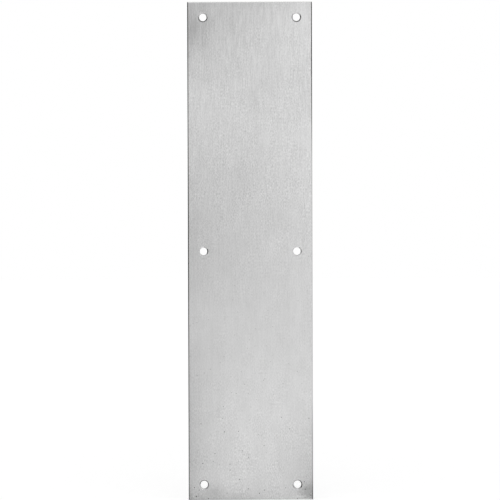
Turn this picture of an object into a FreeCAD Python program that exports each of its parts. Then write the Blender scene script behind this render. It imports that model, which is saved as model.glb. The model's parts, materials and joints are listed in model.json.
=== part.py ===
"""Door finger plate: a flat steel plate with bevelled front edges and countersunk screw holes.

Units are millimetres. The plate stands upright as it does on the door: X runs across it, Z up its
length, and the origin is the middle of its back. The back lies on the door in the plane Y = 0, and the
front faces -Y.
"""

import FreeCAD, Part
import math
import os

from FreeCAD import Vector

# Sheet: 4 by 16 inches, 0.050 inch thick
plate_width = 101.6
plate_height = 406.4
plate_thickness = 1.27

# Edges: a 45 degree bevel round the front, and square corners with only the sharpness taken off
bevel_width = 0.8
corner_radius = 0.25

# Screw holes: columns across the width by rows up the length, set in from the edges
hole_columns = 2
hole_rows = 3
hole_side_inset = 12.7
hole_end_inset = 12.7

# Each hole is punched to clear the screw, then countersunk for its head from the front
clearance_diameter = 6.0
countersink_diameter = 7.9
countersink_angle = 82.0

# How far a cutter runs past the face that it leaves
cutter_overrun = 1.0

FRONT = -plate_thickness
BACK = 0.0
INTO_DOOR = Vector(0, 1, 0)


def evenly_spaced(first, last, count):
    """Places from first to last, both included."""
    step = (last - first) / (count - 1)
    return [first + number * step for number in range(count)]


def hole_centres():
    """The X and Z of every screw hole, row by row from the bottom."""
    column_reach = plate_width / 2 - hole_side_inset
    row_reach = plate_height / 2 - hole_end_inset
    columns = evenly_spaced(-column_reach, column_reach, hole_columns)
    rows = evenly_spaced(-row_reach, row_reach, hole_rows)
    return [(x, z) for z in rows for x in columns]


def sheet():
    """The blank as it is sheared: a square-cornered rectangle of the sheet."""
    corner = Vector(-plate_width / 2, FRONT, -plate_height / 2)
    return Part.makeBox(plate_width, plate_thickness, plate_height, corner)


def runs_through_sheet(edge):
    """Is this edge one of the four that go from the front to the back?"""
    return edge.BoundBox.YLength > plate_thickness / 2


def lies_on_front(edge):
    """Is this edge one of the four round the front face?"""
    return edge.BoundBox.YMax < FRONT + plate_thickness / 2


def bevelled_sheet():
    """The sheet with its four front edges bevelled, mitred at the corners, and the corners eased."""
    blank = sheet()
    bevelled = blank.makeChamfer(bevel_width, [edge for edge in blank.Edges if lies_on_front(edge)])
    eased = blank.makeFillet(corner_radius, [edge for edge in blank.Edges if runs_through_sheet(edge)])
    return bevelled.common(eased)


def clearance_punch(x, z):
    """The round punch that makes the straight hole for the screw's shank."""
    start = Vector(x, FRONT - cutter_overrun, z)
    length = plate_thickness + 2 * cutter_overrun
    return Part.makeCylinder(clearance_diameter / 2, length, start, INTO_DOOR)


def countersink_bit(x, z):
    """The pointed bit that makes the cone for the screw's head, at full width where it meets the front."""
    slope = math.tan(math.radians(countersink_angle / 2))
    base_radius = countersink_diameter / 2 + cutter_overrun * slope
    start = Vector(x, FRONT - cutter_overrun, z)
    return Part.makeCone(base_radius, 0, base_radius / slope, start, INTO_DOOR)


def finger_plate():
    """The finished plate, with every hole punched and countersunk."""
    plate = bevelled_sheet()
    for x, z in hole_centres():
        plate = plate.cut(clearance_punch(x, z))
        plate = plate.cut(countersink_bit(x, z))
    return plate.Solids[0]


os.makedirs("parts", exist_ok=True)
finger_plate().exportStep("parts/finger_plate.step")
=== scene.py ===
"""Looks of the door finger plate: satin steel brushed along its length, upright on a pale studio floor.

Lengths are in metres where no comment gives another unit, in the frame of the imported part: X across the
plate, Z up its length, the front facing -Y and the back on Y = 0.
"""

import json
import math

import bmesh
import bpy
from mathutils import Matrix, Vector


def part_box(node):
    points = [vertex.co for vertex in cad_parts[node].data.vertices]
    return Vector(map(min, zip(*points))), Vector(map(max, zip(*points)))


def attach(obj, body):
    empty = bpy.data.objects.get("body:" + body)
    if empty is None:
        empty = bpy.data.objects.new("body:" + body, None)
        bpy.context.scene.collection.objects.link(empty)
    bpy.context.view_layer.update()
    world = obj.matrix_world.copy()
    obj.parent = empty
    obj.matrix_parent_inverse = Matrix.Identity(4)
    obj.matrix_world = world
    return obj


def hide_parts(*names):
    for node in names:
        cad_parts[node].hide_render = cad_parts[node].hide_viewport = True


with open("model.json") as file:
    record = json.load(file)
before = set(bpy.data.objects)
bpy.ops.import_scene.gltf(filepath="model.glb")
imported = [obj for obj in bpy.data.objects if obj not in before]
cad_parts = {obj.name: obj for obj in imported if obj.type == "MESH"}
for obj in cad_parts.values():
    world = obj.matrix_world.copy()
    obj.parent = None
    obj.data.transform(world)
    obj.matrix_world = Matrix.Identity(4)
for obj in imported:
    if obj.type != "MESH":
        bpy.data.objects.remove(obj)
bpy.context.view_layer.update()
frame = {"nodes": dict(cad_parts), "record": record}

MM = 0.001
NODE = "finger_plate"
WHITE = (1.0, 1.0, 1.0, 1.0)

# Photograph: its side in pixels, the plate's height and centre in it, and how far the plate leans in it
IMAGE_SIZE = 500
PLATE_HEIGHT_PIXELS = 498.6
PLATE_CENTRE_PIXELS = (250.2, 251.25)
PLATE_LEAN = math.radians(0.17)

# Camera: its lens and sensor in millimetres, and how far it looks down
LENS = 100.0
SENSOR = 36.0
CAMERA_PITCH = math.radians(0.5)

# Mesh: the round that takes the sharpness off each edge and its steps, the narrow strip beside it that
# keeps the shading of the flat face, how finely holes and corners are divided, and the least radius of a
# corner
EDGE_EASE = 0.06 * MM
EASE_STEPS = 3
EDGE_HOLD = 0.02 * MM
HOLE_SEGMENTS = 72
CORNER_SEGMENTS = 4
SHARPEST_CORNER = 0.03 * MM
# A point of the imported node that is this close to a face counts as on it
ON_FACE = 0.06 * MM
# How far inside the flat faces a profile begins and ends, which only gives its end rounds their direction
PROFILE_LEAD = 1.0 * MM

# Brushed steel: tone, gloss, and the sizes of its marks across, through and along the plate
STEEL_TONE = 0.64
STEEL_ROUGHNESS = 0.42
STEEL_ANISOTROPY = 0.7
STREAK_SIZE = (0.5 * MM, 0.5 * MM, 9.0 * MM)
LONG_STREAK_SIZE = (1.6 * MM, 1.6 * MM, 90.0 * MM)
SPECKLE_SIZE = (0.6 * MM, 0.6 * MM, 1.7 * MM)
COVER_SIZE = (14.0 * MM, 14.0 * MM, 20.0 * MM)
MOTTLE_SIZE = (11.0 * MM, 11.0 * MM, 18.0 * MM)
PIT_SPACING = (5.0 * MM, 5.0 * MM, 5.0 * MM)
# A pit's dark middle and its rim, as shares of the spacing
PIT_RADII = (0.05, 0.10)
# How deep the brushing is, and how far marks change the roughness
BRUSHING_DEPTH = 0.006 * MM
GLOSS_CHANGE = 0.25

# Strength of the marks: in a list each pair is a height, from 0 at the bottom to 1 at the top, and a
# strength
STREAK_LEVELS = (
    (0.0, 0.09), (0.3, 0.13), (0.4, 0.20), (0.5, 0.27), (0.6, 0.30), (0.8, 0.34), (0.9, 0.42),
    (1.0, 0.43),
)
SPECKLE_LEVELS = (
    (0.0, 0.66), (0.12, 0.60), (0.25, 0.40), (0.35, 0.30), (0.45, 0.46), (0.6, 0.80), (0.8, 0.66),
    (1.0, 0.42),
)
PIT_LEVELS = ((0.0, 0.90), (0.12, 0.70), (0.2, 0.40), (0.3, 0.28), (0.5, 0.18), (0.6, 0.0))
LONG_STREAK_LEVEL = 0.06
MOTTLE_LEVEL = 0.12
# The speckle is thicker in some places than in others, between these shares of its strength
COVER_RANGE = (0.4, 1.6)
# Noise lies about this middle, and nearly all of it within this spread
NOISE_MIDDLE = 0.5
NOISE_SPREAD = 0.25

# Patches of tone: painted shade in the corners, beside the bottom holes, along the lower side edges and
# along the foot, a painted highlight just above the foot on the right, and soft unevenness of the finish
# across the face. Each gives its centre across and up, reach across and up, all in millimetres, and the
# change in tone
FINISH_AND_SHADE_PATCHES = (
    ((-46, 182), (30, 30), -0.14),
    ((-22, 190), (50, 20), -0.035),
    ((-8, 60), (24, 44), -0.07),
    ((18, 2), (20, 24), 0.05),
    ((-51, -150), (14, 80), -0.10),
    ((-50, -205), (36, 28), -0.20),
    ((-20, -210), (66, 26), -0.32),
    ((-30, -196), (12, 10), -0.12),
    ((52, -206), (30, 26), -0.54),
    ((46, -194), (10, 10), -0.20),
    ((-50, -198), (4, 16), -0.17),
    ((50, -197), (5, 14), -0.12),
    # A painted highlight just above the foot
    ((40, -200.4), (14, 2.5), 0.22),
)
# Painted shade on the right sides of five countersink walls and a painted highlight on the upper left of
# the top right one, given in the same way
PAINTED_WALL_SHADING = (
    ((35.5, 193), (4, 4), 0.3),
    ((41.6, 191), (3, 4.5), -0.95),
    ((41.6, 0), (2.5, 3), -0.75),
    ((-34.6, 0), (2.5, 3), -0.5),
    ((41.2, -191.5), (4.5, 7), -0.8),
    ((-35.6, -193), (3, 3), -0.5),
)

# Cut steel, on the edges and in the countersinks: tone, gloss, the sizes of the tool's marks, and how far
# they change the tone
EDGE_TONE = 0.70
EDGE_ROUGHNESS = 0.18
EDGE_GRAIN_SIZE = (0.8 * MM, 0.3 * MM, 0.8 * MM)
COUNTERSINK_TONE = 0.73
COUNTERSINK_ROUGHNESS = 0.16
TURNING_SIZE = (3.0 * MM, 0.06 * MM, 3.0 * MM)
CUT_CHANGE = 0.3

# Room: its even light, and the floor's tone, its size and the glow that lifts it to white
WORLD_LIGHT = 0.7
FLOOR_TONE = 0.8
FLOOR_SIZE = 12.0
FLOOR_LIFT = 0.45

# Cards beside the plate that only its reflections see: flags for the face and, closer to the plate, cards
# for the bevels and, behind those, for the countersinks. Gaps are from the plate's sides, and ends are
# along Y.
FLAG_GAP = 15.0 * MM
FLAG_ENDS = (0.0, -0.1)
EDGE_CARD_GAP = 9.0 * MM
BEVEL_CARD_ENDS = (-8.0 * MM, 1.5 * MM)
HOLE_CARD_ENDS = (1.5 * MM, 32.0 * MM)

# How bright they are: each pair is a height, as a share of the plate's half height, and a brightness,
# where 1 is white
LEFT_FLAG = (
    (-1.0, 0.15), (-0.7, 0.28), (-0.5, 0.45), (-0.3, 0.85), (0.0, 0.58), (0.3, 0.75), (0.65, 1.15),
    (0.8, 0.70), (0.9, 0.35), (1.1, 0.50),
)
RIGHT_FLAG = (
    (-1.0, 0.10), (-0.85, 0.55), (-0.7, 0.75), (-0.6, 1.05), (-0.4, 1.08), (-0.1, 1.28), (0.25, 1.28),
    (0.5, 1.48), (0.7, 1.20), (0.9, 1.50), (1.1, 1.60),
)
LEFT_BEVEL = (
    (-1.0, 0.27), (-0.65, 0.18), (-0.45, 0.09), (-0.3, 0.01), (-0.15, 0.0), (0.1, 0.0), (0.25, 0.04),
    (0.45, 0.11), (0.65, 0.02), (0.8, 0.0), (1.1, 0.0),
)
RIGHT_BEVEL = (
    (-1.0, 0.24), (-0.9, 0.48), (-0.75, 0.48), (-0.6, 0.76), (0.0, 0.70), (0.35, 0.68), (0.55, 0.25),
    (0.75, 0.0), (1.1, 0.0),
)
LEFT_HOLES = (
    (-1.1, 0.12), (-0.85, 0.12), (-0.55, 0.0), (-0.45, 0.60), (-0.1, 0.60), (-0.05, 0.0), (0.05, 0.0),
    (0.1, 0.60), (0.75, 0.60), (0.9, 0.10), (1.1, 0.0),
)
RIGHT_HOLES = ((-1.1, 0.85), (0.8, 0.85), (0.86, 1.0), (0.9, 1.0), (0.93, 0.40), (1.1, 0.40))

# Cards over the plate, one in front for its face and one behind for the countersinks: their sides are
# along X, and each pair is a place along Y and a brightness
TOP_GAP = 17.0 * MM
TOP_FLAG_SIDES = (-0.03, 0.045)
TOP_FLAG = ((-0.015, 0.50), (-0.07, 0.50))
TOP_HOLES_SIDES = (-0.06, 0.06)
TOP_HOLES = ((0.004, 0.08), (0.015, 0.08), (0.022, 0.75), (0.045, 0.75))

# Card just over the floor in front of the plate, given in the same way
FLOOR_CARD_GAP = 0.5 * MM
FLOOR_FLAG_SIDES = (-0.4, 0.4)
FLOOR_FLAG = (
    (-0.0015, 0.90), (-0.02, 0.98), (-0.08, 1.15), (-0.30, 1.40), (-0.50, 1.58), (-0.70, 1.50),
    (-0.90, 0.90), (-1.10, 0.50), (-1.60, 0.50), (-2.00, 1.00),
)

# Cards at the same height, one at the plate's foot for the bottom bevel and the lowest ends of the side
# bevels, and one behind the plate for the countersinks: their ends are along Y, and each pair is a place
# along X, as a share of the plate's half width, and a brightness
BOTTOM_BEVEL_ENDS = (-1.5 * MM, 0.0)
BOTTOM_BEVEL = (
    (-1.2, 0.25), (-1.01, 0.25), (-1.0, 0.50), (-0.7, 0.64), (-0.5, 0.84), (-0.1, 0.82), (0.2, 1.05),
    (0.5, 0.92), (0.75, 1.70), (0.9, 2.80), (1.0, 3.80), (1.01, 0.10), (1.2, 0.10),
)
FLOOR_HOLES_ENDS = (0.0, 6.5 * MM)
FLOOR_HOLES = (
    (-1.2, 0.20), (-0.7, 0.34), (-0.3, 0.24), (0.3, 0.08), (0.6, 0.05), (0.75, 0.55), (1.2, 0.50),
)

# Dark card behind the camera: half its width, its place along Y, its ends along Z and its brightness
SHADE_REACH = 0.12
SHADE_PLACE = -1.2
SHADE_ENDS = (-0.16, 0.07)
SHADE_LEVEL = 0.05


class Graph:
    """A short way to write a node tree: an input given as a socket is linked, and any other is a value."""

    def __init__(self, tree):
        self.tree = tree
        tree.nodes.clear()

    def add(self, kind, inputs=None, **properties):
        node = self.tree.nodes.new(kind)
        for name, value in properties.items():
            setattr(node, name, value)
        for name, value in (inputs or {}).items():
            if isinstance(value, bpy.types.NodeSocket):
                self.tree.links.new(value, node.inputs[name])
            else:
                node.inputs[name].default_value = value
        return node

    def math(self, operation, first, second):
        return self.add("ShaderNodeMath", {0: first, 1: second}, operation=operation).outputs["Value"]

    def total(self, values):
        result = values[0]
        for value in values[1:]:
            result = self.math("ADD", result, value)
        return result


def add_object(name, data):
    """A new object, linked to the scene."""
    made = bpy.data.objects.new(name, data)
    bpy.context.scene.collection.objects.link(made)
    return made


# Shape


class PlateSizes:
    """The plate's sizes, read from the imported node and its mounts."""

    def __init__(self):
        points = [vertex.co for vertex in frame["nodes"][NODE].data.vertices]
        low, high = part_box(NODE)
        self.half_width = high.x
        self.half_height = high.z
        self.front = low.y
        self.back = high.y
        self.read_rim(points)
        self.read_holes(points)

    def read_rim(self, points):
        """The bevel's width and depth, and the radius of the corners."""
        front_points = [point for point in points if abs(point.y - self.front) < ON_FACE]
        self.bevel_width = self.half_width - max(point.x for point in front_points)
        side_front = min(point.y for point in points if self.half_width - point.x < ON_FACE)
        self.bevel_depth = side_front - self.front
        back_points = [point for point in points if abs(point.y - self.back) < ON_FACE]
        widest = [point.z for point in back_points if self.half_width - point.x < ON_FACE]
        self.corner_radius = self.half_height - max(widest)

    def read_holes(self, points):
        """The holes' places and radius, and the countersinks' width and depth."""
        mounts = {mount["name"]: mount for mount in frame["record"]["mounts"]}
        corner_dims = mounts["corner_screws"]["dims"]
        middle_dims = mounts["middle_screws"]["dims"]
        across = corner_dims["spacing_x_mm"] * MM / 2
        up = corner_dims["spacing_y_mm"] * MM / 2
        middle_across = middle_dims["spacing_x_mm"] * MM / 2
        self.hole_centres = [(side * across, end * up) for side in (-1, 1) for end in (-1, 1)]
        self.hole_centres += [(side * middle_across, 0.0) for side in (-1, 1)]
        self.hole_radius = corner_dims["hole_r_mm"] * MM

        x, z = self.hole_centres[0]
        wall = [(math.hypot(point.x - x, point.z - z), point.y) for point in points]
        wall = [(radius, depth) for radius, depth in wall if radius < 2 * self.hole_radius]
        self.mouth_radius = max(radius for radius, depth in wall if abs(depth - self.front) < ON_FACE)
        self.land_front = min(depth for radius, depth in wall if radius - self.hole_radius < ON_FACE)


def eased(corners):
    """A line through corners, with each inner corner rounded off, from the first round to the last."""
    points = []
    for before, corner, after in zip(corners, corners[1:], corners[2:]):
        back = (before - corner).normalized()
        ahead = (after - corner).normalized()
        start = corner + back * EDGE_EASE
        end = corner + ahead * EDGE_EASE
        points.append(start + back * EDGE_HOLD)
        for step in range(EASE_STEPS + 1):
            share = step / EASE_STEPS
            points.append(start.lerp(corner, share).lerp(corner.lerp(end, share), share))
        points.append(end + ahead * EDGE_HOLD)
    return points[1:-1]


def rim_profile(sizes):
    """From the front face over the bevel and the side to the back face, as inset and depth."""
    return eased([
        Vector((sizes.bevel_width + PROFILE_LEAD, sizes.front)),
        Vector((sizes.bevel_width, sizes.front)),
        Vector((0.0, sizes.front + sizes.bevel_depth)),
        Vector((0.0, sizes.back)),
        Vector((PROFILE_LEAD, sizes.back)),
    ])


def hole_profile(sizes):
    """From the front face down the countersink and the land to the back face, as radius and depth."""
    return eased([
        Vector((sizes.mouth_radius + PROFILE_LEAD, sizes.front)),
        Vector((sizes.mouth_radius, sizes.front)),
        Vector((sizes.hole_radius, sizes.land_front)),
        Vector((sizes.hole_radius, sizes.back)),
        Vector((sizes.hole_radius + PROFILE_LEAD, sizes.back)),
    ])


def outline(sizes, inset):
    """The X and Z of points round the plate at this inset, with a small round at each corner."""
    corner = max(sizes.corner_radius - inset, SHARPEST_CORNER)
    reach_x = sizes.half_width - inset - corner
    reach_z = sizes.half_height - inset - corner
    points = []
    for quarter, (side, end) in enumerate([(1, 1), (-1, 1), (-1, -1), (1, -1)]):
        for step in range(CORNER_SEGMENTS + 1):
            turn = math.radians(90) * (quarter + step / CORNER_SEGMENTS)
            x = side * reach_x + corner * math.cos(turn)
            z = end * reach_z + corner * math.sin(turn)
            points.append((x, z))
    return points


def circle(centre, radius):
    """The X and Z of points round a hole."""
    turns = [2 * math.pi * number / HOLE_SEGMENTS for number in range(HOLE_SEGMENTS)]
    return [(centre[0] + radius * math.cos(turn), centre[1] + radius * math.sin(turn)) for turn in turns]


def add_wall(mesh, rings, material, smooth):
    """Joins rings of points by strips of faces, and returns the first and the last ring's vertices."""
    loops = [[mesh.verts.new((x, depth, z)) for x, z in points] for points, depth in rings]
    for near, far in zip(loops, loops[1:]):
        for number in range(len(near)):
            face = mesh.faces.new((near[number - 1], near[number], far[number], far[number - 1]))
            face.material_index = material
            face.smooth = smooth
    return loops[0], loops[-1]


def fill(mesh, loops, material):
    """Closes a flat face between its outline and its holes."""
    edges = []
    for loop in loops:
        edges += [mesh.edges.get((loop[number - 1], loop[number])) for number in range(len(loop))]
    filled = bmesh.ops.triangle_fill(mesh, use_beauty=True, edges=edges)
    for made in filled["geom"]:
        if isinstance(made, bmesh.types.BMFace):
            made.material_index = material


def plate_piece(sizes, materials):
    """The plate as one closed mesh: rim, six countersunk holes, front and back."""
    front_material, back_material, edge_material, hole_material = range(len(materials))
    mesh = bmesh.new()
    rim = [(outline(sizes, inset), depth) for inset, depth in rim_profile(sizes)]
    ends = [add_wall(mesh, rim, edge_material, smooth=False)]
    for centre in sizes.hole_centres:
        wall = [(circle(centre, radius), depth) for radius, depth in hole_profile(sizes)]
        ends.append(add_wall(mesh, wall, hole_material, smooth=True))
    fill(mesh, [front for front, back in ends], front_material)
    fill(mesh, [back for front, back in ends], back_material)
    bmesh.ops.recalc_face_normals(mesh, faces=mesh.faces)
    data = bpy.data.meshes.new("steel_plate")
    mesh.to_mesh(data)
    mesh.free()
    for material in materials:
        data.materials.append(material)
    return add_object("steel_plate", data)


# Materials


def new_material(name):
    """A new material, and the graph of its nodes."""
    material = bpy.data.materials.new(name)
    material.use_nodes = True
    return material, Graph(material.node_tree)


def grain(graph, place, size):
    """Noise of this size, about as often above nothing as below it."""
    mapped = graph.add("ShaderNodeMapping", {"Vector": place, "Scale": size}, vector_type="TEXTURE")
    noise = graph.add("ShaderNodeTexNoise", {"Vector": mapped.outputs["Vector"], "Scale": 1.0})
    return graph.math("SUBTRACT", noise.outputs["Fac"], NOISE_MIDDLE)


def along_height(graph, place, sizes, levels):
    """A strength that changes from the bottom of the plate to its top."""
    height = graph.add("ShaderNodeSeparateXYZ", {"Vector": place}).outputs["Z"]
    share = graph.add(
        "ShaderNodeMapRange",
        {"Value": height, "From Min": -sizes.half_height, "From Max": sizes.half_height},
    )
    ramp = graph.add("ShaderNodeValToRGB", {"Fac": share.outputs["Result"]})
    elements = ramp.color_ramp.elements
    for number, (position, level) in enumerate(levels):
        element = elements[number] if number < len(elements) else elements.new(position)
        element.position = position
        element.color = (level, level, level, 1.0)
    return ramp.outputs["Color"]


def patch(graph, place, centre, reach, change):
    """A soft round change in tone."""
    mapped = graph.add(
        "ShaderNodeMapping",
        {
            "Vector": place,
            "Location": (centre[0] * MM, 0.0, centre[1] * MM),
            "Scale": (reach[0] * MM, 1.0, reach[1] * MM),
        },
        vector_type="TEXTURE",
    )
    falloff = graph.add(
        "ShaderNodeTexGradient", {"Vector": mapped.outputs["Vector"]}, gradient_type="QUADRATIC_SPHERE"
    )
    return graph.math("MULTIPLY", falloff.outputs["Fac"], change)


def finish_and_shade_change(graph, place, patches):
    """The change in tone from these patches."""
    return graph.total([patch(graph, place, centre, reach, change) for centre, reach, change in patches])


def pits(graph, place, sizes):
    """Small pits: full depth in the middle of a pit and nothing round it."""
    mapped = graph.add(
        "ShaderNodeMapping", {"Vector": place, "Scale": PIT_SPACING}, vector_type="TEXTURE"
    )
    cells = graph.add("ShaderNodeTexVoronoi", {"Vector": mapped.outputs["Vector"], "Scale": 1.0})
    inner, outer = PIT_RADII
    spot = graph.add(
        "ShaderNodeMapRange",
        {
            "Value": cells.outputs["Distance"],
            "From Min": inner,
            "From Max": outer,
            "To Min": 1.0,
            "To Max": 0.0,
        },
    )
    return graph.math("MULTIPLY", spot.outputs["Result"], along_height(graph, place, sizes, PIT_LEVELS))


def brushing(graph, place, sizes):
    """Fine marks along the plate: streaks, mostly near its top, and a speckle that comes in clouds."""
    low, high = COVER_RANGE
    cover = graph.add(
        "ShaderNodeMapRange",
        {
            "Value": grain(graph, place, COVER_SIZE),
            "From Min": -NOISE_SPREAD,
            "From Max": NOISE_SPREAD,
            "To Min": low,
            "To Max": high,
        },
    )
    streak_level = along_height(graph, place, sizes, STREAK_LEVELS)
    speckle_level = graph.math(
        "MULTIPLY", along_height(graph, place, sizes, SPECKLE_LEVELS), cover.outputs["Result"]
    )
    streaks = graph.math("MULTIPLY", grain(graph, place, STREAK_SIZE), streak_level)
    speckle = graph.math("MULTIPLY", grain(graph, place, SPECKLE_SIZE), speckle_level)
    return graph.math("ADD", streaks, speckle)


def brushed_steel(name, sizes, worn_and_shaded):
    """Satin steel brushed lengthwise, uneven in tone; if asked, pitted and with painted shade and
    highlight.
    """
    material, graph = new_material(name)
    place = graph.add("ShaderNodeTexCoord").outputs["Object"]
    relief = brushing(graph, place, sizes)
    changes = [
        graph.math("MULTIPLY", grain(graph, place, LONG_STREAK_SIZE), LONG_STREAK_LEVEL),
        graph.math("MULTIPLY", grain(graph, place, MOTTLE_SIZE), MOTTLE_LEVEL),
    ]
    if worn_and_shaded:
        relief = graph.math("SUBTRACT", relief, pits(graph, place, sizes))
        # Painted shade in the corners, along the lower edges and the foot, and a painted highlight above
        # the foot
        changes.append(finish_and_shade_change(graph, place, FINISH_AND_SHADE_PATCHES))
    change = graph.total([relief, *changes])
    tone = graph.math("MULTIPLY", graph.math("ADD", change, 1.0), STEEL_TONE)
    roughness = graph.math("ADD", graph.math("MULTIPLY", relief, -GLOSS_CHANGE), STEEL_ROUGHNESS)
    bump = graph.add("ShaderNodeBump", {"Height": relief, "Distance": BRUSHING_DEPTH, "Strength": 1.0})
    tangent = graph.add("ShaderNodeTangent", direction_type="RADIAL", axis="Z")
    shader = graph.add(
        "ShaderNodeBsdfPrincipled",
        {
            "Base Color": tone,
            "Metallic": 1.0,
            "Roughness": roughness,
            "Normal": bump.outputs["Normal"],
            "Anisotropic": STEEL_ANISOTROPY,
            "Tangent": tangent.outputs["Tangent"],
        },
    )
    graph.add("ShaderNodeOutputMaterial", {"Surface": shader.outputs["BSDF"]})
    return material


def cut_steel(name, tone, roughness, mark_size, patches):
    """Bare cut steel, with marks of this size left by the tool and these patches of painted shade,
    highlight and uneven tone.
    """
    material, graph = new_material(name)
    place = graph.add("ShaderNodeTexCoord").outputs["Object"]
    marks = graph.math("MULTIPLY", grain(graph, place, mark_size), CUT_CHANGE)
    # The patches paint shade and highlight into the tone
    change = graph.math("ADD", marks, finish_and_shade_change(graph, place, patches))
    colour = graph.math("MULTIPLY", graph.math("ADD", change, 1.0), tone)
    gloss = graph.math("ADD", graph.math("MULTIPLY", marks, GLOSS_CHANGE), roughness)
    shader = graph.add(
        "ShaderNodeBsdfPrincipled",
        {"Base Color": colour, "Metallic": 1.0, "Roughness": gloss},
    )
    graph.add("ShaderNodeOutputMaterial", {"Surface": shader.outputs["BSDF"]})
    return material


# Stage


def seen_white(graph):
    """1 where the camera, a reflection or a see-through surface looks, and 0 where light is gathered."""
    path = graph.add("ShaderNodeLightPath")
    seen = graph.math("MAXIMUM", path.outputs["Is Camera Ray"], path.outputs["Is Glossy Ray"])
    return graph.math("MAXIMUM", seen, path.outputs["Is Transmission Ray"])


def studio_world():
    """Even light from all round, seen as white."""
    world = bpy.data.worlds.new("studio")
    world.use_nodes = True
    graph = Graph(world.node_tree)
    light = graph.add("ShaderNodeBackground", {"Color": WHITE, "Strength": WORLD_LIGHT})
    white = graph.add("ShaderNodeBackground", {"Color": WHITE, "Strength": 1.0})
    mix = graph.add(
        "ShaderNodeMixShader",
        {0: seen_white(graph), 1: light.outputs["Background"], 2: white.outputs["Background"]},
    )
    graph.add("ShaderNodeOutputWorld", {"Surface": mix.outputs["Shader"]})
    bpy.context.scene.world = world


def floor(height):
    """A pale floor, lifted to white where nothing shades it."""
    material, graph = new_material("pale_floor")
    paint = graph.add("ShaderNodeBsdfDiffuse", {"Color": (FLOOR_TONE, FLOOR_TONE, FLOOR_TONE, 1.0)})
    lift = graph.math("MULTIPLY", seen_white(graph), FLOOR_LIFT)
    glow = graph.add("ShaderNodeEmission", {"Color": WHITE, "Strength": lift})
    both = graph.add("ShaderNodeAddShader", {0: paint.outputs["BSDF"], 1: glow.outputs["Emission"]})
    graph.add("ShaderNodeOutputMaterial", {"Surface": both.outputs["Shader"]})
    bpy.ops.mesh.primitive_plane_add(size=FLOOR_SIZE, location=(0, 0, height))
    piece = bpy.context.object
    piece.name = "pale_floor"
    piece.data.materials.append(material)


def card(name, side, rungs):
    """A card that only reflections see. Each rung has a start and a brightness, and runs along side."""
    material, graph = new_material(name)
    brightness = graph.add("ShaderNodeAttribute", attribute_name="brightness").outputs["Fac"]
    glow = graph.add("ShaderNodeEmission", {"Color": WHITE, "Strength": brightness})
    graph.add("ShaderNodeOutputMaterial", {"Surface": glow.outputs["Emission"]})
    starts = [Vector(start) for start, level in rungs]
    points = [point for start in starts for point in (start, start + Vector(side))]
    faces = [(low, low + 1, low + 3, low + 2) for low in range(0, len(points) - 2, 2)]
    data = bpy.data.meshes.new(name)
    data.from_pydata(points, [], faces)
    levels = data.attributes.new("brightness", "FLOAT", "POINT")
    for number, point in enumerate(levels.data):
        point.value = rungs[number // 2][1]
    data.materials.append(material)
    piece = add_object(name, data)
    piece.visible_camera = False
    piece.visible_diffuse = False
    piece.visible_transmission = False
    piece.visible_volume_scatter = False
    piece.visible_shadow = False


def side_cards(sizes):
    """The upright cards to the left and the right of the plate."""
    for name, side, gap, (near, far), levels in (
        ("left_flag", -1, FLAG_GAP, FLAG_ENDS, LEFT_FLAG),
        ("right_flag", 1, FLAG_GAP, FLAG_ENDS, RIGHT_FLAG),
        ("left_bevel_card", -1, EDGE_CARD_GAP, BEVEL_CARD_ENDS, LEFT_BEVEL),
        ("right_bevel_card", 1, EDGE_CARD_GAP, BEVEL_CARD_ENDS, RIGHT_BEVEL),
        ("left_hole_card", -1, EDGE_CARD_GAP, HOLE_CARD_ENDS, LEFT_HOLES),
        ("right_hole_card", 1, EDGE_CARD_GAP, HOLE_CARD_ENDS, RIGHT_HOLES),
    ):
        x = side * (sizes.half_width + gap)
        rungs = [((x, near, share * sizes.half_height), level) for share, level in levels]
        card(name, (0, far - near, 0), rungs)


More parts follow.
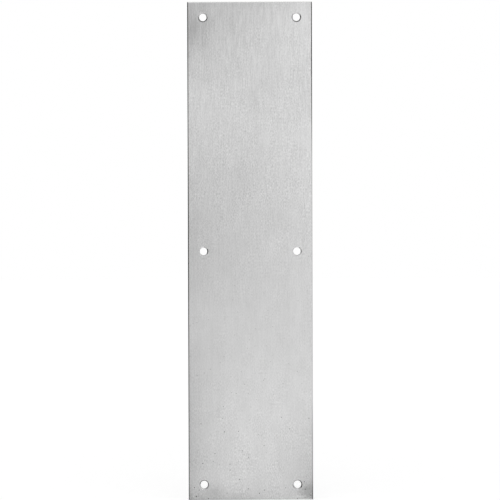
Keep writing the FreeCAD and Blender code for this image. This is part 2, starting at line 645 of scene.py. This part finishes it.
def flat_cards(sizes):
    """The cards over the plate, on the floor and behind the camera."""
    top = sizes.half_height + TOP_GAP
    bottom = FLOOR_CARD_GAP - sizes.half_height
    for name, z, (left, right), levels in (
        ("top_flag", top, TOP_FLAG_SIDES, TOP_FLAG),
        ("top_hole_card", top, TOP_HOLES_SIDES, TOP_HOLES),
        ("floor_flag", bottom, FLOOR_FLAG_SIDES, FLOOR_FLAG),
    ):
        card(name, (right - left, 0, 0), [((left, y, z), level) for y, level in levels])
    for name, (near, far), levels in (
        ("bottom_bevel_card", BOTTOM_BEVEL_ENDS, BOTTOM_BEVEL),
        ("floor_hole_card", FLOOR_HOLES_ENDS, FLOOR_HOLES),
    ):
        rungs = [((share * sizes.half_width, near, bottom), level) for share, level in levels]
        card(name, (0, far - near, 0), rungs)
    shade = [((-SHADE_REACH, SHADE_PLACE, z), SHADE_LEVEL) for z in SHADE_ENDS]
    card("camera_shade", (2 * SHADE_REACH, 0, 0), shade)


def camera(sizes):
    """A long lens, nearly square to the plate, that gives the photograph's frame."""
    scale = 2 * sizes.half_height / PLATE_HEIGHT_PIXELS
    distance = IMAGE_SIZE * scale * LENS / SENSOR
    offset_x = (IMAGE_SIZE / 2 - PLATE_CENTRE_PIXELS[0]) * scale
    offset_z = (PLATE_CENTRE_PIXELS[1] - IMAGE_SIZE / 2) * scale
    data = bpy.data.cameras.new("camera")
    data.lens = LENS
    data.sensor_width = SENSOR
    view = add_object("camera", data)
    view.location = (
        offset_x,
        sizes.front - distance * math.cos(CAMERA_PITCH),
        offset_z + distance * math.sin(CAMERA_PITCH),
    )
    view.rotation_euler = (math.radians(90) - CAMERA_PITCH, PLATE_LEAN, 0)
    bpy.context.scene.camera = view


sizes = PlateSizes()
plate = plate_piece(
    sizes,
    [
        brushed_steel("worn_and_shaded_front", sizes, worn_and_shaded=True),
        brushed_steel("plain_back", sizes, worn_and_shaded=False),
        # The edge takes the face's patches of painted shade and highlight, and the countersinks take those
        # and the painted shading on their walls
        cut_steel("ground_edge", EDGE_TONE, EDGE_ROUGHNESS, EDGE_GRAIN_SIZE, FINISH_AND_SHADE_PATCHES),
        cut_steel(
            "turned_countersink",
            COUNTERSINK_TONE,
            COUNTERSINK_ROUGHNESS,
            TURNING_SIZE,
            FINISH_AND_SHADE_PATCHES + PAINTED_WALL_SHADING,
        ),
    ],
)
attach(plate, "root")
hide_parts(NODE)

studio_world()
floor(-sizes.half_height)
side_cards(sizes)
flat_cards(sizes)
camera(sizes)

bpy.context.scene.view_settings.view_transform = "Standard"
